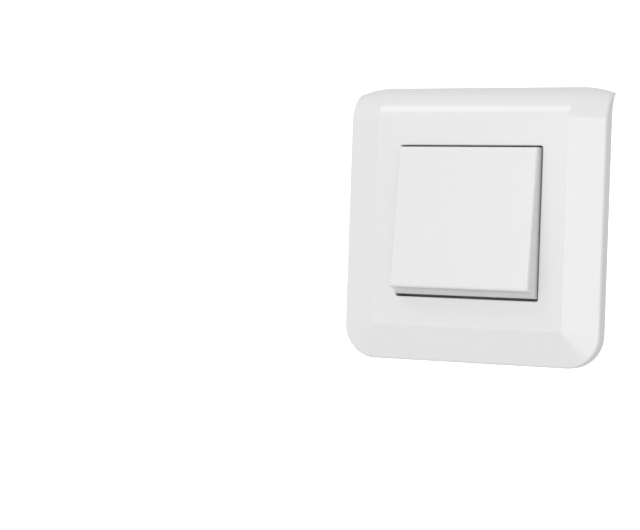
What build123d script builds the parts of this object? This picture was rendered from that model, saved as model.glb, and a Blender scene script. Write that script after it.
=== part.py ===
from build123d import *
import os
from math import atan, cos, degrees, radians, sin

os.makedirs("parts", exist_ok=True)

# Two-way light switch for a flush wall box, in millimetres.
# The origin lies on the wall, midway between the two box screws.
# X runs to the right as seen from the room, Y into the wall and Z up.

# Cover plate
plate_stand = 11.5  # the flat front, measured from the wall
plate_half_width = 40.8
plate_bottom = 41.8  # below the centre
plate_top = 40.7  # above the centre, where the roll meets the wall
plate_top_corner = 38.8  # the same at the two side edges
plate_wall = 2.0
roll_start = 29.5  # height at which the flat front starts to roll back
slope_fall = 3.3  # how far the sides and the bottom slope back
slope_width = 10.5  # of the side and bottom slopes
slope_stations = 3
crease_corner_radius = 1.0  # where the side and bottom creases meet
bottom_corner_radius = 10.0
front_edge_radius = 0.8
wall_gap = 3.9  # shadow gap between the side walls and the wall
tip_rise = 7.5  # height over which the back edge curves to the wall
opening_half = 22.7
opening_corner_radius = 0.7
opening_edge_bevel = 0.2
skirt_offset = 0.5  # from the opening's edge out to the collar behind it
skirt_wall = 0.8
skirt_play = 0.3  # between the collar and the frame
hook_play = 0.3
hook_leg_thickness = 1.4
hook_height = 1.3
hook_half_length = 5.0

# Rocker
rocker_tilt = 5.4  # each way from square
rocker_pivot_gap = 3.7  # pivot axis in front of the wall
rocker_face_reach = 12.5  # face in front of the pivot
rocker_half_height = 21.07
rocker_waist_height = 21.63
rocker_foot_height = 22.5
rocker_waist_reach = 8.2
rocker_foot_reach = 5.8
rocker_back_reach = 3.0
rocker_half_width = 22.05
rocker_side_draft = 0.25
rocker_wall = 1.5
rocker_edge_radius = 0.8

# Cradle that carries the rocker
deck_thickness = 1.8
deck_half_width = 14.5
deck_half_height = 9.0
deck_reach = 9.4
cheek_inner = 9.0
cheek_thickness = 2.0
cheek_radius = 2.9
trunnion_radius = 1.4
trunnion_play = 0.05
sleeve_radius = 3.0
sleeve_bore_radius = 2.0
sleeve_tail = 3.5  # behind the pivot
deck_corner_radius = 1.0
deck_pad = 2.0  # side of the square pads between the deck and the rocker
clip_thickness = 1.3
clip_half_height = 4.0
clip_play = 0.2
clip_barb = 0.5  # how far the clip reaches behind the deck
clip_barb_height = 1.0

# Sprung plunger
plunger_play = 0.1
plunger_head_reach = 0.8
plunger_tip_radius = 1.0
plunger_tip_centre = 10.1  # behind the pivot
plunger_taper = 2.2
spring_wire_radius = 0.25
spring_turns = 5
spring_play = 0.05

# Support frame
frame_side_play = 3.3  # from the frame's edge to the plate's wall
frame_top_play = 3.2
frame_bottom_play = 4.3
frame_thickness = 2.0
frame_corner_radius = 4.0
frame_window_half = 21.3
frame_rim = 1.3
frame_rim_height = 1.6
corner_window = 7.0  # side of the square openings in the frame's corners
corner_window_radius = 1.5
corner_window_offset = 27.5
screw_spacing = 60.0
screw_slot_width = 3.6
screw_slot_length = 8.0
catch_inner = 24.2
catch_thickness = 1.8
catch_height = 3.5
catch_lip = 0.8
catch_lip_height = 1.0
catch_half_length = 6.0
catch_offset = 14.0

# Module: cover and housing
module_half = 22.3
flange_thickness = 2.0
flange_corner_radius = 1.0
window_play = 0.3
cover_skin = 1.6
cover_window_half_width = 12.0
cover_window_half_height = 5.0
ear_thickness = 3.0
ear_wall = 1.4
ear_foot = 1.5  # thickening round the window, above and below it
dust_rib = 1.2
dust_rib_height = 2.0
dust_rib_inset = 2.5
spigot_wall = 1.5
housing_half = 20.6
housing_depth = 20.0
housing_wall = 1.5
housing_corner_radius = 3.0
housing_edge_radius = 0.8
spigot_height = 1.5
spigot_play = 0.1
snap_reach = 1.3
snap_root = 0.5  # how deep the snaps run into the housing's wall
snap_height = 2.2
snap_half_width = 5.0
snap_pocket = 0.9  # depth of the frame's pockets for the snaps, from its back
snap_play = 0.15

# See-saw contact
arm_tilt = 7.0
arm_depth = 8.9  # rocking axis behind the wall
arm_hump = 1.3
arm_thickness = 0.9
arm_half_length = 9.6
arm_half_width = 2.5
arm_corner_radius = 1.5
hump_half_height = 2.0
hump_foot = 4.0
blade_radius = 0.5
blade_play = 0.05
contact_radius = 1.6
contact_thickness = 0.8
contact_bevel = 0.25
rivet_radius = 0.7  # of the contacts' shanks
rivet_play = 0.05
contact_offset = 7.6
contact_gap = 0.12
fixed_contact_thickness = 1.0

# Terminals
strip_thickness = 0.8
strip_half_width = 1.6
strip_leg = 14.8
leg_end_gap = 0.3
common_cell_half = 6.0
cell_low = 5.0
cell_high = 13.0
wire_hole_radius = 1.6
wire_hole_x = 12.2
common_hole_offset = 3.6
traveller_hole_z = 7.1
lever_z = 11.2
lever_half_width = 1.1
lever_half_height = 1.1
lever_stand_out = 1.5
lever_play = 0.15
lever_shoulder = 0.5
rib_inner = 6.6
rib_thickness = 1.0
clamp_sheet = 0.4
clamp_bend_radius = 0.72
clamp_flat = 1.6  # length of the spring's end turn
clamp_play = 0.3  # to the walls of its cell
clamp_end_height = 1.6  # of the clamping edge above the cell's bottom
clamp_start_height = 0.4
clamp_rib_gap = 0.05


def at_depth(depth):
    """A plane parallel to the wall, facing the room, this far behind the wall's surface."""
    return Plane.XZ.offset(-depth)


def side_plane(pivot_depth, tilt):
    """The section plane of a tilted piece: local x runs back from its pivot, local y up."""
    turn = radians(tilt)
    return Plane(origin=(0, pivot_depth, 0), x_dir=(0, cos(turn), sin(turn)), z_dir=(1, 0, 0))


def facing_plane(side, reach):
    """A plane square to a section plane, facing the room, this far in front of its pivot."""
    return Plane(origin=side.from_local_coords((-reach, 0, 0)), x_dir=(1, 0, 0), z_dir=-side.x_dir)


def plate_profile(x, front, top):
    """The upper part of the plate's section on one upright plane, from the corner level up."""
    with BuildSketch(Plane.YZ.offset(x)) as profile:
        with BuildLine():
            roll = EllipticalCenterArc((0, roll_start), front, top - roll_start, 90, arc_size=90)
            Polyline(roll @ 1, (-front, -corner_z), (0, -corner_z), roll @ 0)
        make_face()
    return profile.sketch


def plate_form(inset):
    """The plate's outer form or, with an inset, the hollow behind its wall."""
    half = plate_half_width - inset
    front = plate_stand - inset
    with BuildPart() as form:
        extrude(plate_profile(slope_inner, front, plate_top - inset), amount=-2 * slope_inner)
        sections = []
        for step in range(slope_stations + 1):
            x = slope_inner + (half - slope_inner) * step / slope_stations
            share = (x - slope_inner) / slope_width
            top = plate_top + (plate_top_corner - plate_top) * share**2 - inset
            sections.append(plate_profile(x, front - slope_fall * share, top))
        side = loft(sections)
        with BuildSketch(Plane.YZ):
            with BuildLine():
                crease = (-front, -corner_z - crease_corner_radius)
                rim = (slope_fall - front, -plate_bottom)
                Polyline((-front, -corner_z), crease, rim, (0, -plate_bottom), (0, -corner_z), close=True)
            make_face()
        extrude(amount=corner_x, both=True)
        with BuildSketch(Plane.XY.offset(-corner_z)):
            with BuildLine():
                foot = (slope_inner + 2 * slope_width, 2 * slope_fall - front)
                crown = (slope_inner, -front)
                Polyline((corner_x, -front), crown, foot, (foot[0], 0), (corner_x, 0), close=True)
            make_face()
        corner = revolve(axis=Axis((corner_x, 0, -corner_z), (0, 1, 0)), revolution_arc=90)
        mirror(side, about=Plane.YZ)
        mirror(corner, about=Plane.YZ)
        with BuildSketch(Plane.XZ) as outline:
            with Locations((0, (plate_top - plate_bottom + inset) / 2)):
                Rectangle(2 * half, plate_top + plate_bottom - inset)
            fillet(outline.vertices().group_by(Axis.Y)[0], bottom_corner_radius - inset)
        extrude(amount=plate_stand, mode=Mode.INTERSECT)
    return form.part


slope_inner = plate_half_width - slope_width
corner_x = slope_inner - crease_corner_radius
corner_z = plate_bottom - slope_width - crease_corner_radius
rocker_side = side_plane(-rocker_pivot_gap, -rocker_tilt)
arm_side = side_plane(arm_depth, arm_tilt)
plate_back = plate_stand - plate_wall
frame_width = 2 * (plate_half_width - plate_wall - frame_side_play)
frame_top = plate_top - plate_wall - frame_top_play
frame_bottom = plate_bottom - plate_wall - frame_bottom_play
pad_front = arm_depth + contact_thickness + contact_offset * sin(radians(arm_tilt))
pad_front += contact_radius * sin(radians(arm_tilt)) + contact_gap + fixed_contact_thickness
pad_back = pad_front + strip_thickness
back_wall = housing_depth - housing_wall
leg_end = back_wall - leg_end_gap
ear_outer = cover_window_half_width + ear_thickness
lever_tip = back_wall - lever_play - lever_shoulder

# Cover plate: a moulded shell whose top rolls back to the wall.
hook_inner = catch_inner + catch_thickness + catch_lip + hook_play
hook_front = frame_thickness + catch_height - catch_lip_height - hook_play
with BuildPart() as cover_plate:
    add(plate_form(0))
    with BuildSketch(Plane.YZ):
        with BuildLine():
            tip_start = (0, plate_top_corner - tip_rise)
            tip = EllipticalCenterArc(tip_start, wall_gap, tip_rise, 90, arc_size=90)
            Polyline(tip @ 1, (-wall_gap, -plate_bottom), (0, -plate_bottom), tip @ 0)
        make_face()
    extrude(amount=plate_half_width, both=True, mode=Mode.SUBTRACT)
    outer_faces = cover_plate.faces().filter_by(lambda f: abs(f.normal_at().Y) < 0.01)
    side_walls = outer_faces.filter_by(lambda f: f.center().Y > -plate_stand + slope_fall)
    rim = [e for e in side_walls.edges() if e.center().Y < slope_fall - plate_stand + 0.5]
    fillet(rim, front_edge_radius)
    add(plate_form(plate_wall), mode=Mode.SUBTRACT)
    with BuildSketch(Plane.XZ):
        RectangleRounded(2 * opening_half, 2 * opening_half, opening_corner_radius)
    extrude(amount=plate_stand, mode=Mode.SUBTRACT)
    flat_front = cover_plate.faces().sort_by(Axis.Y)[0]
    chamfer(flat_front.inner_wires()[0].edges(), opening_edge_bevel)
    with BuildSketch(at_depth(-frame_thickness - skirt_play)):
        skirt_half = opening_half + skirt_offset + skirt_wall
        RectangleRounded(2 * skirt_half, 2 * skirt_half, opening_corner_radius + skirt_wall)
        offset(amount=-skirt_wall, mode=Mode.SUBTRACT)
    extrude(amount=plate_back - frame_thickness - skirt_play)
    with BuildSketch(at_depth(-plate_back)):
        with GridLocations(2 * catch_offset, 2 * hook_inner + hook_leg_thickness, 2, 2):
            Rectangle(2 * hook_half_length, hook_leg_thickness)
    extrude(amount=-(plate_back - frame_thickness - hook_play))
    with BuildSketch(at_depth(-hook_front)):
        with GridLocations(2 * catch_offset, 2 * hook_inner - catch_lip, 2, 2):
            Rectangle(2 * hook_half_length, catch_lip)
    extrude(amount=-hook_height)
cover_plate.part.label = "cover_plate"
export_step(cover_plate.part, "parts/cover_plate.step")

# Rocker: a hollow moulded cap with slightly hollow end walls.
with BuildPart() as rocker:
    with BuildSketch(rocker_side):
        with BuildLine():
            face_low = (-rocker_face_reach, -rocker_half_height)
            face_high = (-rocker_face_reach, rocker_half_height)
            waist_low = (-rocker_waist_reach, -rocker_waist_height)
            waist_high = (-rocker_waist_reach, rocker_waist_height)
            face = Line(face_low, face_high)
            upper = ThreePointArc(face @ 1, waist_high, (-rocker_foot_reach, rocker_foot_height))
            lower = ThreePointArc(face @ 0, waist_low, (-rocker_foot_reach, -rocker_foot_height))
            Polyline(
                upper @ 1,
                (-rocker_back_reach, rocker_foot_height),
                (-rocker_back_reach, -rocker_foot_height),
                lower @ 1,
            )
        make_face()
    extrude(amount=rocker_half_width + rocker_side_draft, both=True)
    draft_angle = degrees(atan(rocker_side_draft / (rocker_face_reach - rocker_back_reach)))
    with BuildSketch(facing_plane(rocker_side, rocker_back_reach)):
        Rectangle(2 * (rocker_half_width + rocker_side_draft), 2 * (rocker_foot_height + 1.0))
    extrude(amount=rocker_face_reach - rocker_back_reach, taper=draft_angle, mode=Mode.INTERSECT)
    back_face = rocker.faces().sort_by(Axis(rocker_side.origin, rocker_side.x_dir))[-1]
    front_face = rocker.faces().sort_by(Axis(rocker_side.origin, rocker_side.x_dir))[0]
    fillet(front_face.edges(), rocker_edge_radius)
    offset(amount=-rocker_wall, openings=back_face)
    ceiling_reach = rocker_face_reach - rocker_wall
    with BuildSketch(facing_plane(rocker_side, deck_reach)):
        with GridLocations(2 * (deck_half_width - deck_pad), 2 * (deck_half_height - deck_pad), 2, 2):
            Rectangle(deck_pad, deck_pad)
    extrude(amount=ceiling_reach - deck_reach)
    clip_foot = deck_reach - deck_thickness - clip_play
    with BuildSketch(facing_plane(rocker_side, clip_foot - clip_barb_height)):
        for side in (-1, 1):
            with Locations((side * (deck_half_width + clip_play + clip_thickness / 2), 0)):
                Rectangle(clip_thickness, 2 * clip_half_height)
    extrude(amount=ceiling_reach - clip_foot + clip_barb_height)
    with BuildSketch(facing_plane(rocker_side, clip_foot - clip_barb_height)):
        for side in (-1, 1):
            with Locations((side * (deck_half_width + (clip_play - clip_barb) / 2), 0)):
                Rectangle(clip_barb + clip_play, 2 * clip_half_height)
    extrude(amount=clip_barb_height)
rocker.part.label = "rocker"
export_step(rocker.part, "parts/rocker.step")

# Cradle: the deck that the rocker clips onto, with its two trunnions and the plunger's sleeve.
with BuildPart() as rocker_cradle:
    with BuildSketch(facing_plane(rocker_side, deck_reach - deck_thickness)):
        RectangleRounded(2 * deck_half_width, 2 * deck_half_height, deck_corner_radius)
    extrude(amount=deck_thickness)
    for side in (-1, 1):
        cheek_plane = rocker_side.offset(side * (cheek_inner + cheek_thickness / 2))
        with BuildSketch(cheek_plane):
            Circle(cheek_radius)
            with BuildLine():
                Polyline(
                    (0, -cheek_radius),
                    (0, cheek_radius),
                    (deck_thickness - deck_reach, deck_half_height - deck_pad),
                    (deck_thickness - deck_reach, deck_pad - deck_half_height),
                    close=True,
                )
            make_face()
        extrude(amount=cheek_thickness / 2, both=True)
        with BuildSketch(rocker_side.offset(side * cheek_inner)):
            Circle(trunnion_radius)
        extrude(amount=side * (ear_outer - cheek_inner))
    with BuildSketch(facing_plane(rocker_side, -sleeve_tail)):
        Circle(sleeve_radius)
    extrude(amount=sleeve_tail + deck_reach - deck_thickness / 2)
    with BuildSketch(facing_plane(rocker_side, -sleeve_tail)):
        Circle(sleeve_bore_radius)
    extrude(amount=sleeve_tail + deck_reach - deck_thickness, mode=Mode.SUBTRACT)
rocker_cradle.part.label = "rocker_cradle"
export_step(rocker_cradle.part, "parts/rocker_cradle.step")

# Plunger: a round pin with a rounded tip, pressed back by the spring above it.
plunger_radius = sleeve_bore_radius - plunger_play
with BuildPart() as plunger:
    with BuildSketch(rocker_side):
        with BuildLine():
            tip_start = (plunger_tip_centre, plunger_tip_radius)
            tip_arc = JernArc(tip_start, (1, 0), plunger_tip_radius, -90)
            Polyline(
                tip_arc @ 1,
                (-plunger_head_reach, 0),
                (-plunger_head_reach, plunger_radius),
                (plunger_tip_centre - plunger_taper, plunger_radius),
                tip_start,
            )
        make_face()
    revolve(axis=Axis(rocker_side.origin, rocker_side.x_dir))
plunger.part.label = "plunger"
export_step(plunger.part, "parts/plunger.step")

# Plunger spring: a wire coil between the plunger's head and the bottom of the sleeve.
spring_room = deck_reach - deck_thickness - plunger_head_reach
spring_length = spring_room - 2 * (spring_wire_radius + spring_play)
spring_radius = sleeve_bore_radius - plunger_play - 2 * spring_wire_radius
spring_pitch = spring_length / spring_turns
with BuildPart() as plunger_spring:
    coil_reach = plunger_head_reach + spring_wire_radius + spring_play
    coil_start = rocker_side.from_local_coords((-coil_reach, 0, 0))
    with BuildLine():
        coil = Helix(spring_pitch, spring_length, spring_radius, coil_start, -rocker_side.x_dir)
    with BuildSketch(Plane(origin=coil @ 0, z_dir=coil % 0)):
        RegularPolygon(spring_wire_radius, 6)
    sweep(is_frenet=True)
plunger_spring.part.label = "plunger_spring"
export_step(plunger_spring.part, "parts/plunger_spring.step")

# Support frame: screwed to the wall box, with four catches for the cover plate.
with BuildPart() as support_frame:
    with BuildSketch(Plane.XZ) as frame_outline:
        with Locations((0, (frame_top - frame_bottom) / 2)):
            RectangleRounded(frame_width, frame_top + frame_bottom, frame_corner_radius)
    extrude(amount=frame_thickness)
    with BuildSketch(at_depth(-frame_thickness)):
        add(frame_outline.sketch_local)
        offset(amount=-frame_rim, mode=Mode.SUBTRACT)
    extrude(amount=frame_rim_height)
    with BuildSketch(at_depth(-frame_thickness)):
        with GridLocations(2 * catch_offset, 2 * catch_inner + catch_thickness, 2, 2):
            Rectangle(2 * catch_half_length, catch_thickness)
    extrude(amount=catch_height)
    with BuildSketch(at_depth(catch_lip_height - catch_height - frame_thickness)):
        with GridLocations(2 * catch_offset, 2 * (catch_inner + catch_thickness) + catch_lip, 2, 2):
            Rectangle(2 * catch_half_length, catch_lip)
    extrude(amount=catch_lip_height)
    with BuildSketch(Plane.XZ):
        Rectangle(2 * frame_window_half, 2 * frame_window_half)
        with GridLocations(screw_spacing, 0, 2, 1):
            SlotOverall(screw_slot_length, screw_slot_width)
        with GridLocations(2 * corner_window_offset, 2 * corner_window_offset, 2, 2):
            RectangleRounded(corner_window, corner_window, corner_window_radius)
    extrude(amount=frame_thickness, mode=Mode.SUBTRACT)
    with BuildSketch(Plane.XZ):
        Rectangle(2 * (snap_half_width + snap_play), 2 * (housing_half + snap_reach + snap_play))
    extrude(amount=snap_pocket, mode=Mode.SUBTRACT)
support_frame.part.label = "support_frame"
export_step(support_frame.part, "parts/support_frame.step")

# Module cover: the moulded front of the mechanism, with the two ears that carry the rocker.
cover_front = frame_thickness + flange_thickness
ear_radius = trunnion_radius + trunnion_play + ear_wall
plug_half = frame_window_half - window_play
spigot_half = housing_half - housing_wall - spigot_play
with BuildPart() as module_cover:
    with BuildSketch(at_depth(-frame_thickness)):
        RectangleRounded(2 * module_half, 2 * module_half, flange_corner_radius)
    extrude(amount=flange_thickness)
    with BuildSketch(Plane.XZ):
        Rectangle(2 * plug_half, 2 * plug_half)
    extrude(amount=frame_thickness)
    with BuildSketch(Plane.XZ):
        RectangleRounded(2 * spigot_half, 2 * spigot_half, housing_corner_radius - housing_wall)
    extrude(amount=-spigot_height)
    with BuildSketch(at_depth(spigot_height)):
        Rectangle(2 * (spigot_half - spigot_wall), 2 * (spigot_half - spigot_wall))
    extrude(amount=spigot_height + cover_front - cover_skin, mode=Mode.SUBTRACT)
    with BuildSketch(Plane.XZ):
        Rectangle(2 * ear_outer, 2 * (cover_window_half_height + ear_foot))
    extrude(amount=cover_front)
    with BuildSketch(at_depth(-cover_front)):
        Rectangle(2 * (module_half - dust_rib_inset), 2 * (module_half - dust_rib_inset))
        offset(amount=-dust_rib, mode=Mode.SUBTRACT)
    extrude(amount=dust_rib_height)
    for side in (-1, 1):
        with BuildSketch(side_plane(-rocker_pivot_gap, 0).offset(side * (ear_outer - ear_thickness / 2))):
            Circle(ear_radius)
        extrude(amount=ear_thickness / 2, both=True)
    with BuildSketch(Plane.XZ):
        Rectangle(2 * cover_window_half_width, 2 * cover_window_half_height)
    extrude(amount=cover_front + ear_radius, mode=Mode.SUBTRACT)
    with BuildSketch(side_plane(-rocker_pivot_gap, 0)):
        Circle(trunnion_radius + trunnion_play)
    extrude(amount=ear_outer, both=True, mode=Mode.SUBTRACT)
module_cover.part.label = "module_cover"
export_step(module_cover.part, "parts/module_cover.step")

# Housing: the box behind the frame, with the terminals' cells and the wire entries.
with BuildPart() as module_housing:
    with BuildSketch(at_depth(housing_depth)):
        RectangleRounded(2 * housing_half, 2 * housing_half, housing_corner_radius)
    extrude(amount=housing_depth)
    fillet(module_housing.faces().sort_by(Axis.Y)[-1].edges(), housing_edge_radius)
    with BuildSketch(at_depth(back_wall)):
        inner_half = housing_half - housing_wall
        RectangleRounded(2 * inner_half, 2 * inner_half, housing_corner_radius - housing_wall)
    extrude(amount=back_wall, mode=Mode.SUBTRACT)
    with BuildSketch(at_depth(back_wall)):
        Rectangle(2 * arm_half_width, 2 * strip_half_width)
        with GridLocations(0, 2 * contact_offset, 1, 2):
            Rectangle(2 * arm_half_width, 2 * strip_half_width)
        with Locations((-rib_inner - rib_thickness / 2, 0)):
            Rectangle(rib_thickness, 2 * common_cell_half)
        for level in (-1, 1):
            with Locations((rib_inner + rib_thickness / 2, level * (cell_low + cell_high) / 2)):
                Rectangle(rib_thickness, cell_high - cell_low)
    extrude(amount=back_wall - pad_back)
    with BuildSketch(Plane.YZ):
        for level in (-1, 1):
            with BuildLine():
                Polyline(
                    (snap_play, level * (housing_half - snap_root)),
                    (snap_play, level * (plug_half + snap_play)),
                    (snap_play - snap_pocket, level * (plug_half + snap_play)),
                    (snap_play - snap_pocket, level * (housing_half + snap_reach)),
                    (0, level * (housing_half + snap_reach)),
                    (snap_height, level * (housing_half - snap_root)),
                    close=True,
                )
            make_face()
    extrude(amount=snap_half_width, both=True)
    with BuildSketch(at_depth(housing_depth)):
        with Locations((-wire_hole_x, common_hole_offset), (-wire_hole_x, -common_hole_offset)):
            Circle(wire_hole_radius)
        with Locations((wire_hole_x, traveller_hole_z), (wire_hole_x, -traveller_hole_z)):
            Circle(wire_hole_radius)
        with Locations((-wire_hole_x, 0), (wire_hole_x, lever_z), (wire_hole_x, -lever_z)):
            Rectangle(2 * (lever_half_width + lever_play), 2 * (lever_half_height + lever_play))
    extrude(amount=housing_wall, mode=Mode.SUBTRACT)
module_housing.part.label = "module_housing"
export_step(module_housing.part, "parts/module_housing.step")

# See-saw contact: a stamped bar that rocks on the blade of the common strip.
with BuildPart() as contact_arm:
    with BuildSketch(arm_side):
        with BuildLine():
            Polyline(
                (0, -arm_half_length),
                (0, arm_half_length),
                (-arm_thickness, arm_half_length),
                (-arm_thickness, hump_foot),
                (-arm_hump, hump_half_height),
                (-arm_hump, -hump_half_height),
                (-arm_thickness, -hump_foot),
                (-arm_thickness, -arm_half_length),
                close=True,
            )
        make_face()
        Circle(blade_radius + blade_play, mode=Mode.SUBTRACT)
    extrude(amount=arm_half_width, both=True)
    with BuildSketch(facing_plane(arm_side, 0)):
        with GridLocations(0, 2 * contact_offset, 1, 2):
            Circle(rivet_radius + rivet_play)
    extrude(amount=arm_thickness, mode=Mode.SUBTRACT)
    arm_normal = Axis(arm_side.origin, arm_side.x_dir)
    corners = contact_arm.edges().filter_by(arm_normal).group_by(Axis.Z)
    fillet(corners[0] + corners[-1], arm_corner_radius)
contact_arm.part.label = "contact_arm"
export_step(contact_arm.part, "parts/contact_arm.step")

# Silver contacts: two on the see-saw's ends and one on each traveller strip.
for name, level in (("moving_contact_upper", 1), ("moving_contact_lower", -1)):
    seat = arm_side.from_local_coords((0, level * contact_offset, 0))
    with BuildPart() as moving_contact:
        with BuildSketch(Plane(origin=seat, x_dir=(1, 0, 0), z_dir=arm_side.x_dir)):
            Circle(contact_radius)
        extrude(amount=contact_thickness)
        chamfer(moving_contact.edges().sort_by(Axis.Y)[-1], contact_bevel)
        with BuildSketch(Plane(origin=seat, x_dir=(1, 0, 0), z_dir=arm_side.x_dir)):
            Circle(rivet_radius)
        extrude(amount=-arm_thickness)
    moving_contact.part.label = name
    export_step(moving_contact.part, f"parts/{name}.step")

for name, level in (("fixed_contact_upper", 1), ("fixed_contact_lower", -1)):
    with BuildPart() as fixed_contact:
        with BuildSketch(at_depth(pad_front)):
            with Locations((0, level * contact_offset)):
                Circle(contact_radius)
        extrude(amount=fixed_contact_thickness)
        chamfer(fixed_contact.edges().sort_by(Axis.Y)[0], contact_bevel)
        with BuildSketch(at_depth(pad_front)):
            with Locations((0, level * contact_offset)):
                Circle(rivet_radius)
        extrude(amount=-strip_thickness)
    fixed_contact.part.label = name
    export_step(fixed_contact.part, f"parts/{name}.step")

# Common strip: carries the see-saw's blade and feeds the two common entries.
with BuildPart() as common_strip:
    with BuildSketch(at_depth(pad_back)):
        with Locations(((arm_half_width - strip_leg) / 2, 0)):
            Rectangle(arm_half_width + strip_leg, 2 * strip_half_width)
        with Locations((-strip_leg + strip_thickness / 2, 0)):
            Rectangle(strip_thickness, 2 * common_cell_half)
    extrude(amount=strip_thickness)
    with BuildSketch(at_depth(leg_end)):
        with Locations((-strip_leg + strip_thickness / 2, 0)):
            Rectangle(strip_thickness, 2 * common_cell_half)
    extrude(amount=leg_end - pad_back)
    with BuildSketch(side_plane(arm_depth, 0)):
        Circle(blade_radius)
        with Locations(((pad_front - arm_depth) / 2, 0)):
            Rectangle(pad_front - arm_depth, 2 * blade_radius)
    extrude(amount=arm_half_width, both=True)
common_strip.part.label = "common_strip"
export_step(common_strip.part, "parts/common_strip.step")

# Traveller strips: one for each way, from a fixed contact to its wire entry.
for name, level in (("traveller_strip_upper", 1), ("traveller_strip_lower", -1)):
    with BuildPart() as traveller_strip:
        with BuildSketch(at_depth(pad_back)):
            with Locations(((strip_leg - arm_half_width) / 2, level * contact_offset)):
                Rectangle(strip_leg + arm_half_width, 2 * strip_half_width)
            with Locations((strip_leg - strip_thickness / 2, level * (cell_low + cell_high) / 2)):
                Rectangle(strip_thickness, cell_high - cell_low)
        extrude(amount=strip_thickness)
        with BuildSketch(at_depth(leg_end)):
            with Locations((strip_leg - strip_thickness / 2, level * (cell_low + cell_high) / 2)):
                Rectangle(strip_thickness, cell_high - cell_low)
        extrude(amount=leg_end - pad_back)
        with BuildSketch(at_depth(pad_back)):
            with Locations((0, level * contact_offset)):
                Circle(rivet_radius + rivet_play)
        extrude(amount=strip_thickness, mode=Mode.SUBTRACT)
    traveller_strip.part.label = name
    export_step(traveller_strip.part, f"parts/{name}.step")

# Clamp springs: each presses a wire against the leg of its strip.
cells = (
    ("common", -1, -common_cell_half, common_cell_half, 0),
    ("upper", 1, cell_low, cell_high, lever_z),
    ("lower", 1, -cell_high, -cell_low, -lever_z),
)
clamp_foot = rib_inner + rib_thickness + clamp_sheet / 2 + clamp_rib_gap
clamp_turn = leg_end - clamp_sheet / 2
for way, side, low, high, lever_level in cells:
    with BuildPart() as clamp_spring:
        with BuildSketch(Plane.XY.offset(low + clamp_play)):
            with BuildLine():
                FilletPolyline(
                    (side * clamp_foot, pad_back + clamp_start_height),
                    (side * clamp_foot, clamp_turn),
                    (side * (clamp_foot + clamp_flat), clamp_turn),
                    (side * (strip_leg - strip_thickness - clamp_sheet), pad_back + clamp_end_height),
                    radius=clamp_bend_radius,
                )
            trace(line_width=clamp_sheet)
        extrude(amount=high - low - 2 * clamp_play)
    clamp_spring.part.label = f"clamp_spring_{way}"
    export_step(clamp_spring.part, f"parts/clamp_spring_{way}.step")

    # The lever beside it frees the wire when it is pushed in with a screwdriver.
    with BuildPart() as release_lever:
        centre = (side * wire_hole_x, lever_level)
        with BuildSketch(at_depth(housing_depth + lever_stand_out)):
            with Locations(centre):
                Rectangle(2 * lever_half_width, 2 * lever_half_height)
        extrude(amount=housing_depth + lever_stand_out - lever_tip)
        with BuildSketch(at_depth(back_wall - lever_play)):
            with Locations(centre):
                Rectangle(2 * lever_half_width, 2 * (lever_half_height + lever_shoulder))
        extrude(amount=back_wall - lever_play - lever_tip)
    release_lever.part.label = f"release_lever_{way}"
    export_step(release_lever.part, f"parts/release_lever_{way}.step")
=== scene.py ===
from math import cos, pi, radians, sin

import bmesh
import bpy
from mathutils import Matrix, Vector


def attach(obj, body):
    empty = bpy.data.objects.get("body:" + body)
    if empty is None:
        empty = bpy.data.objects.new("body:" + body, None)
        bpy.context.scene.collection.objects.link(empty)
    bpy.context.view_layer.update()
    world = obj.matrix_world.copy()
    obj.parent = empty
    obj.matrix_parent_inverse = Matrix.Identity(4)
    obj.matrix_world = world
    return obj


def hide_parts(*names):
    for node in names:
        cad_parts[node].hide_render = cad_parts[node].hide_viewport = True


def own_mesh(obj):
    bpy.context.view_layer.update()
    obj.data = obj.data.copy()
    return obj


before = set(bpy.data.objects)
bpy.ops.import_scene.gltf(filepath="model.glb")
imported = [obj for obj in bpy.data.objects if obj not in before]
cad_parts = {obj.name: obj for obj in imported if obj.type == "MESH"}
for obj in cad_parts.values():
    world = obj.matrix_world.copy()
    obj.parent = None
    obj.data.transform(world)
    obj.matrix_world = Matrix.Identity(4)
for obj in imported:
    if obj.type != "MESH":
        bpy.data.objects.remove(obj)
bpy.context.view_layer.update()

# The camera stands in the room, a little to the right of the switch and level with it.
# Its distance, turn and lens come from the corners of the plate and of the opening in the photograph.
photo_width = 640
focal_pixels = 1977
sensor_width = 36.0
nearest_seen = 0.01
view_turn = radians(26.86)
view_pitch = radians(-0.10)
view_roll = radians(1.99)
camera_place = Vector((0.22534, -0.55212, -0.01319))
look = Vector((-sin(view_turn) * cos(view_pitch), cos(view_turn) * cos(view_pitch), sin(view_pitch)))
level_right = look.cross(Vector((0, 0, 1))).normalized()
level_up = level_right.cross(look)
camera_right = level_right * cos(view_roll) + level_up * sin(view_roll)
camera_up = level_up * cos(view_roll) - level_right * sin(view_roll)
camera_data = bpy.data.cameras.new("studio_camera")
camera_data.sensor_width = sensor_width
camera_data.lens = sensor_width * focal_pixels / photo_width
camera_data.clip_start = nearest_seen
studio_camera = bpy.data.objects.new("studio_camera", camera_data)
bpy.context.collection.objects.link(studio_camera)
turned = Matrix((camera_right, camera_up, -look)).transposed()
studio_camera.matrix_world = Matrix.Translation(camera_place) @ turned.to_4x4()
bpy.context.scene.camera = studio_camera

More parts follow.
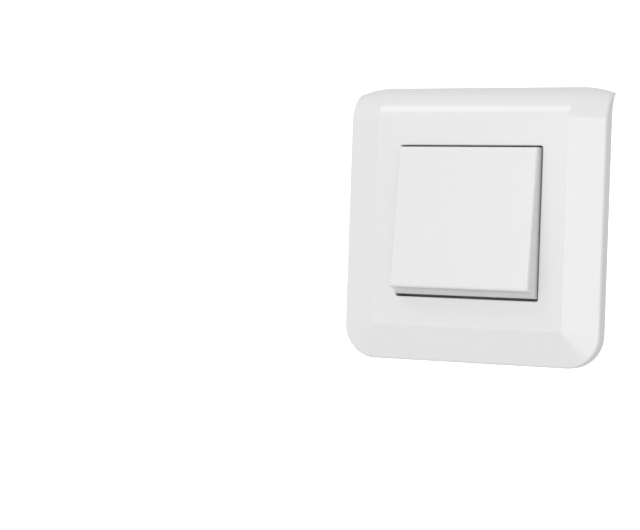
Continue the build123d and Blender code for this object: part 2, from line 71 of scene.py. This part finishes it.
# The room is a white studio: soft light from all round, brighter from above than from below.
# The large front panel fills it, three smaller ones at the left shape the flats, the roll and the
# slopes, and a weak one behind shapes the back.
floor_drop = 0.40
floor_width = 1.1
floor_grey = 0.6
floor_roughness = 0.9
surround_below = 0.64
surround_above = 0.77
backdrop_strength = 1.3
panels = (
    ("front_panel", (0.17, -1.6, -0.12), (0.9, 1.5), 8.8),
    ("window_panel", (-0.49, -1.6, 0.45), (0.24, 0.9), 0.9),
    ("roll_panel", (-0.46, -0.73, 0.83), (0.36, 0.36), 1.0),
    ("slope_panel", (-0.73, -1.17, -0.82), (0.6, 0.6), 1.1),
    ("back_panel", (-0.8, 0.9, -0.25), (1.0, 0.5), 5.0),
)


class Value:
    """A shader socket that takes part in plain arithmetic, each step adding its Math node."""

    def __init__(self, nodes, socket):
        self.nodes = nodes
        self.socket = socket

    def step(self, operation, first, second):
        return self.nodes.add("ShaderNodeMath", {"operation": operation}, first, second)

    def __add__(self, other):
        return self.step("ADD", self, other)

    __radd__ = __add__

    def __mul__(self, other):
        return self.step("MULTIPLY", self, other)

    __rmul__ = __mul__

    def __sub__(self, other):
        return self.step("SUBTRACT", self, other)

    def __rsub__(self, other):
        return self.step("SUBTRACT", other, self)


class Finish:
    """The nodes of one material or world, made one at a time with their settings and inputs."""

    def __init__(self, owner):
        owner.use_nodes = True
        self.tree = owner.node_tree
        self.tree.nodes.clear()

    def add(self, kind, settings=None, *values, out=0, **named):
        node = self.tree.nodes.new(kind)
        for name, setting in (settings or {}).items():
            if name == "stops":
                self.colour_stops(node, setting)
            else:
                setattr(node, name, setting)
        for key, value in list(enumerate(values)) + list(named.items()):
            socket = node.inputs[key.replace("_", " ") if isinstance(key, str) else key]
            if isinstance(value, Value):
                self.tree.links.new(value.socket, socket)
            elif value is not None:
                socket.default_value = value
        return Value(self, node.outputs[out]) if node.outputs else node

    def colour_stops(self, node, stops):
        ramp = node.color_ramp.elements
        while len(ramp) < len(stops):
            ramp.new(1.0)
        for stop, (place, colour) in zip(ramp, stops):
            stop.position = place
            stop.color = colour


surround = bpy.data.worlds.new("surround")
bpy.context.scene.world = surround
bpy.context.scene.view_settings.view_transform = "Standard"
sky = Finish(surround)
seen = sky.add("ShaderNodeLightPath")
facing = sky.add("ShaderNodeTexCoord", out=0)
height = sky.add("ShaderNodeSeparateXYZ", None, facing, out=2)
ambient = sky.add("ShaderNodeMapRange", None, Value=height, From_Min=-1.0, From_Max=1.0,
                  To_Min=surround_below, To_Max=surround_above)
soft = sky.add("ShaderNodeBackground", None, (1, 1, 1, 1), ambient)
white = sky.add("ShaderNodeBackground", None, (1, 1, 1, 1), backdrop_strength)
mixed = sky.add("ShaderNodeMixShader", None, seen, soft, white)
sky.add("ShaderNodeOutputWorld", None, mixed)

for name, place, (width, tall), power in panels:
    lamp = bpy.data.lights.new(name, "AREA")
    lamp.shape = "RECTANGLE"
    lamp.size = width
    lamp.size_y = tall
    lamp.energy = power
    holder = bpy.data.objects.new(name, lamp)
    bpy.context.collection.objects.link(holder)
    holder.location = place
    holder.rotation_euler = (-Vector(place)).to_track_quat("-Z", "Y").to_euler()

bpy.ops.object.select_all(action="DESELECT")
bpy.ops.mesh.primitive_plane_add(size=floor_width, location=(0, 0, -floor_drop))
floor = bpy.context.object
floor.name = "studio_floor"
floor_paint = bpy.data.materials.new("floor_paint")
paint = Finish(floor_paint)
floor_shader = paint.add("ShaderNodeBsdfPrincipled", None, (floor_grey, floor_grey, floor_grey, 1),
                         Roughness=floor_roughness)
paint.add("ShaderNodeOutputMaterial", None, floor_shader)
floor.data.materials.append(floor_paint)

# The support frame is a moulded tray in pale grey plastic with a fine spark-eroded skin.
# Two screws through its slots hold it to the wall box, and the module and the plate clip into it.
cloud_scale = 45.0
front_scale = 60.0
front_bend = 6.0
cloud_polish = 0.3
skin_polish = 0.5
plastic_ior = 1.5


def moulded(name, colour, gloss, skin_size, skin_depth, shade, flow=0.0, gate=(0, 0, 0)):
    """Moulded plastic: slight cloudiness, flow marks round the gate, and the skin of the mould's face."""
    material = bpy.data.materials.new(name)
    resin = Finish(material)
    place = resin.add("ShaderNodeTexCoord", out=3)
    cloud = resin.add("ShaderNodeTexNoise", None, Vector=place, Scale=cloud_scale, Detail=3.0)
    skin = resin.add("ShaderNodeTexNoise", None, Vector=place, Scale=1.0 / skin_size, Detail=3.0)
    from_gate = resin.add("ShaderNodeMapping", None, Vector=place, Location=tuple(-part for part in gate))
    front = resin.add("ShaderNodeTexWave", {"wave_type": "RINGS", "rings_direction": "SPHERICAL"},
                      Vector=from_gate, Scale=front_scale, Distortion=front_bend, Detail=2.0)
    marks = cloud * (1 - flow) + front * flow
    tint = resin.add("ShaderNodeMix", {"data_type": "RGBA"}, marks, out=2)
    tint.socket.node.inputs[6].default_value = tuple((1 - shade) * part for part in colour) + (1,)
    tint.socket.node.inputs[7].default_value = tuple(colour) + (1,)
    uneven = gloss + (marks - 0.5) * (cloud_polish * gloss) + (skin - 0.5) * (skin_polish * gloss)
    relief = resin.add("ShaderNodeBump", None, Strength=1.0, Distance=skin_depth, Height=skin)
    shader = resin.add("ShaderNodeBsdfPrincipled", None, Base_Color=tint, Roughness=uneven, Normal=relief,
                       IOR=plastic_ior)
    resin.add("ShaderNodeOutputMaterial", None, shader)
    return material


def dress(node, material):
    """Gives a piece that keeps its solid's shape this material all over."""
    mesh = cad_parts[node].data
    mesh.materials.clear()
    mesh.materials.append(material)


frame_grey = (0.66, 0.66, 0.66)
frame_satin = moulded("frame_satin", frame_grey, gloss=0.46, skin_size=0.00035, skin_depth=0.00001,
                      shade=0.03, flow=0.3, gate=(0, -0.004, 0.026))
dress("support_frame", frame_satin)

# The housing is the module's back shell, in a darker grey plastic with a coarser eroded skin.
# It holds the strips, springs and levers in its cells, and its snaps catch the module cover.
housing_grey = (0.40, 0.41, 0.43)
housing_satin = moulded("housing_satin", housing_grey, gloss=0.50, skin_size=0.00045, skin_depth=0.000018,
                        shade=0.06, flow=0.4, gate=(0, 0.02, 0))
dress("module_housing", housing_satin)

# The fixed strips are stamped and bent from brass sheet, and stand in slots of the housing.
# The streaks are the rolling marks of the sheet, and the darker spots are its first tarnish.
spot_scale = 220.0
spot_starts = 0.35
spot_ends = 0.62
spot_polish = 0.08
streak_polish = 0.25
streak_depth = 0.000008


def rolled(name, colour, tarnish, gloss, grain, streaks):
    """Rolled or drawn metal: streaks along the grain, an uneven polish and soft spots of tarnish."""
    material = bpy.data.materials.new(name)
    metal = Finish(material)
    place = metal.add("ShaderNodeTexCoord", out=3)
    along = metal.add("ShaderNodeMapping", None, Vector=place, Scale=grain)
    streak = metal.add("ShaderNodeTexNoise", None, Vector=along, Scale=streaks, Detail=5.0)
    spots = metal.add("ShaderNodeTexNoise", None, Vector=place, Scale=spot_scale, Detail=4.0)
    fade = ((spot_starts, (1, 1, 1, 1)), (spot_ends, (0, 0, 0, 1)))
    spread = metal.add("ShaderNodeValToRGB", {"stops": fade}, spots)
    tint = metal.add("ShaderNodeMix", {"data_type": "RGBA"}, spread, out=2)
    tint.socket.node.inputs[6].default_value = tuple(colour) + (1,)
    tint.socket.node.inputs[7].default_value = tuple(tarnish) + (1,)
    uneven = gloss + (streak - 0.5) * streak_polish + spread * spot_polish
    relief = metal.add("ShaderNodeBump", None, Strength=0.5, Distance=streak_depth, Height=streak)
    shader = metal.add("ShaderNodeBsdfPrincipled", None, Base_Color=tint, Roughness=uneven, Metallic=1.0,
                       Normal=relief)
    metal.add("ShaderNodeOutputMaterial", None, shader)
    return material


strip_brass = rolled("strip_brass", (0.80, 0.58, 0.26), (0.60, 0.40, 0.17), gloss=0.30,
                     grain=(0.08, 1, 1), streaks=1400.0)
for node in ("common_strip", "traveller_strip_upper", "traveller_strip_lower"):
    dress(node, strip_brass)

# The clamp springs are bent from satin spring-steel strip, and stand behind the wire entries.
# Each presses a bared wire against its brass strip, and its sloping leg gives way to a pushed lever.
clamp_sheet = 0.0004
clamp_line = ((0.00785, 0.01314), (0.00785, 0.0180), (0.00945, 0.0180), (0.0136, 0.01434))
clamp_bends = (0.00072, 0.00028)
bend_steps = 6
cut_edge = 0.00004
cut_edge_angle = radians(50)
smooth_angle = radians(40)
same_place = 0.000001
cells = (
    ("common", -1, -0.0057, 0.0057),
    ("upper", 1, 0.0053, 0.0127),
    ("lower", 1, -0.0127, -0.0053),
)
clamp_steel = rolled("clamp_steel", (0.50, 0.50, 0.52), (0.42, 0.39, 0.33), gloss=0.38,
                     grain=(1, 1, 0.08), streaks=1400.0)


def pick_edge(x, y):
    """Selects the upright edge of the strip that stands at this place."""
    bpy.ops.mesh.select_all(action="DESELECT")
    strip_mesh = bmesh.from_edit_mesh(bpy.context.object.data)
    for corner in strip_mesh.verts:
        corner.select = abs(corner.co.x - x) < same_place and abs(corner.co.y - y) < same_place
    strip_mesh.select_flush_mode()
    bmesh.update_edit_mesh(bpy.context.object.data)


for way, side, low, high in cells:
    corners = [(side * x, y) for x, y in clamp_line]
    (foot_x, foot_y), (turn_x, turn_y) = corners[:2]
    bpy.ops.object.select_all(action="DESELECT")
    bpy.ops.mesh.primitive_plane_add(size=1.0, rotation=(0, pi / 2, 0),
                                     location=(foot_x, (foot_y + turn_y) / 2, (low + high) / 2))
    clamp = bpy.context.object
    clamp.name = f"clamp_strip_{way}"
    clamp.scale = (high - low, turn_y - foot_y, 1.0)
    bpy.ops.object.transform_apply(location=True, rotation=True, scale=True)
    bpy.ops.object.mode_set(mode="EDIT")
    bpy.ops.mesh.select_mode(type="VERT")
    pick_edge(turn_x, turn_y)
    for (x, y), (next_x, next_y) in zip(corners[1:], corners[2:]):
        bpy.ops.mesh.extrude_region_move(TRANSFORM_OT_translate={"value": (next_x - x, next_y - y, 0)})
    for (x, y), reach in zip(corners[1:3], clamp_bends):
        pick_edge(x, y)
        bpy.ops.mesh.bevel(offset=reach, segments=bend_steps, affect="EDGES")
    bpy.ops.object.mode_set(mode="OBJECT")
    sheet = clamp.modifiers.new("sheet", "SOLIDIFY")
    sheet.thickness = clamp_sheet
    sheet.offset = 0.0
    bpy.ops.object.modifier_apply(modifier=sheet.name)
    deburred = clamp.modifiers.new("deburred", "BEVEL")
    deburred.width = cut_edge
    deburred.segments = 2
    deburred.limit_method = "ANGLE"
    deburred.angle_limit = cut_edge_angle
    bpy.ops.object.modifier_apply(modifier=deburred.name)
    bpy.ops.object.mode_set(mode="EDIT")
    bpy.ops.mesh.select_all(action="SELECT")
    bpy.ops.mesh.normals_make_consistent(inside=False)
    bpy.ops.object.mode_set(mode="OBJECT")
    bpy.ops.object.shade_smooth_by_angle(angle=smooth_angle)
    clamp.data.materials.append(clamp_steel)
    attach(clamp, "base")
    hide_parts(f"clamp_spring_{way}")
    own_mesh(clamp)

# The release levers are small orange mouldings that slide in the back wall.
# A screwdriver pushes one in to open its clamp spring.
lever_orange = (0.80, 0.27, 0.03)
lever_satin = moulded("lever_satin", lever_orange, gloss=0.36, skin_size=0.0003, skin_depth=0.000008, shade=0.12)
for node in ("release_lever_common", "release_lever_upper", "release_lever_lower"):
    dress(node, lever_satin)

# The see-saw arm is a stamped brass strip that rocks on the common strip's blade.
# Four riveted silver contacts meet in pairs, and their faces are worn dull by the sparks.
arm_brass = rolled("arm_brass", (0.82, 0.60, 0.28), (0.64, 0.44, 0.19), gloss=0.28,
                   grain=(1, 1, 0.08), streaks=1400.0)
dress("contact_arm", arm_brass)
contact_silver = rolled("contact_silver", (0.88, 0.87, 0.84), (0.52, 0.49, 0.45), gloss=0.24,
                        grain=(1, 1, 1), streaks=900.0)
for node in ("moving_contact_upper", "moving_contact_lower", "fixed_contact_upper", "fixed_contact_lower"):
    dress(node, contact_silver)

# The module cover closes the housing and carries the rocker's two bearing ears.
# It is moulded in off-white plastic, with a finer skin than the housing's.
cover_white = (0.72, 0.72, 0.71)
cover_satin = moulded("cover_satin", cover_white, gloss=0.40, skin_size=0.0003, skin_depth=0.000008,
                      shade=0.02, flow=0.2, gate=(0, -0.01, 0))
dress("module_cover", cover_satin)

# The cradle turns in the ears on its two pins and holds the plunger's sleeve.
# It is moulded in the same kind of off-white plastic, a little glossier for its pins to run on.
cradle_white = (0.74, 0.74, 0.72)
cradle_satin = moulded("cradle_satin", cradle_white, gloss=0.36, skin_size=0.0003, skin_depth=0.000006, shade=0.02)
dress("rocker_cradle", cradle_satin)

# The plunger is a slippery natural-coloured moulding, waxy and slightly yellow.
# It slides in the sleeve, and its round nose runs along the see-saw arm.
natural_yellow = (0.60, 0.55, 0.42)
plunger_wax = moulded("plunger_wax", natural_yellow, gloss=0.30, skin_size=0.0004, skin_depth=0.000004, shade=0.05)
dress("plunger", plunger_wax)

# The plunger's spring is wound from round steel wire, five turns, and sits in the cradle's sleeve.
# It presses the plunger against the arm, and shortens as the plunger slides in.
coil_radius = 0.0014
coil_wire = 0.00025
coil_turns = 5
coil_length = 0.0062
coil_start = 0.001235
wire_sides = 12
turn_steps = 24
rest_tilt = radians(5.4)
pivot = Vector((0, -0.0037, 0))
outward = Vector((0, -cos(rest_tilt), sin(rest_tilt)))
bpy.ops.object.select_all(action="DESELECT")
bpy.ops.mesh.primitive_circle_add(vertices=wire_sides, radius=coil_wire, location=(coil_radius, 0, 0),
                                  rotation=(pi / 2, 0, 0))
coil = bpy.context.object
coil.name = "plunger_coil"
bpy.ops.object.transform_apply(location=True, rotation=True, scale=True)
winding = coil.modifiers.new("winding", "SCREW")
winding.axis = "Z"
winding.screw_offset = coil_length / coil_turns
winding.iterations = coil_turns
winding.steps = turn_steps
winding.render_steps = turn_steps
bpy.ops.object.modifier_apply(modifier=winding.name)
bpy.ops.object.mode_set(mode="EDIT")
bpy.ops.mesh.select_mode(type="EDGE")
bpy.ops.mesh.select_all(action="DESELECT")
bpy.ops.mesh.select_non_manifold()
bpy.ops.mesh.fill_holes(sides=0)
bpy.ops.mesh.select_all(action="SELECT")
bpy.ops.mesh.normals_make_consistent(inside=False)
bpy.ops.object.mode_set(mode="OBJECT")
coil.rotation_euler.x = pi / 2 - rest_tilt
coil.location = pivot + outward * coil_start
bpy.ops.object.transform_apply(location=True, rotation=True, scale=True)
bpy.ops.object.shade_smooth_by_angle(angle=smooth_angle)
drawn_wire = rolled("drawn_wire", (0.62, 0.62, 0.64), (0.50, 0.49, 0.47), gloss=0.22,
                    grain=(1, 1, 1), streaks=2500.0)
coil.data.materials.append(drawn_wire)
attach(coil, "rocker")
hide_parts("plunger_spring")
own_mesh(coil)

# The rocker is a hollow cap in white plastic from a polished mould, clipped over the cradle's deck.
# It fills the plate's opening and tips top or bottom.
rocker_white = (0.768, 0.768, 0.773)
rocker_gloss = moulded("rocker_gloss", rocker_white, gloss=0.20, skin_size=0.0011, skin_depth=0.000003,
                       shade=0.012, flow=0.2, gate=(0, -0.01, 0))
dress("rocker", rocker_gloss)

# The cover plate is a thin shell, moulded in glossy white plastic against one polished mould face.
# It clips over the frame's four catches, and its top edge rolls back onto the wall.
plate_white = (0.768, 0.768, 0.773)
plate_gloss = moulded("plate_gloss", plate_white, gloss=0.17, skin_size=0.0011, skin_depth=0.000003,
                      shade=0.012, flow=0.2, gate=(0, -0.01, 0.03))
dress("cover_plate", plate_gloss)
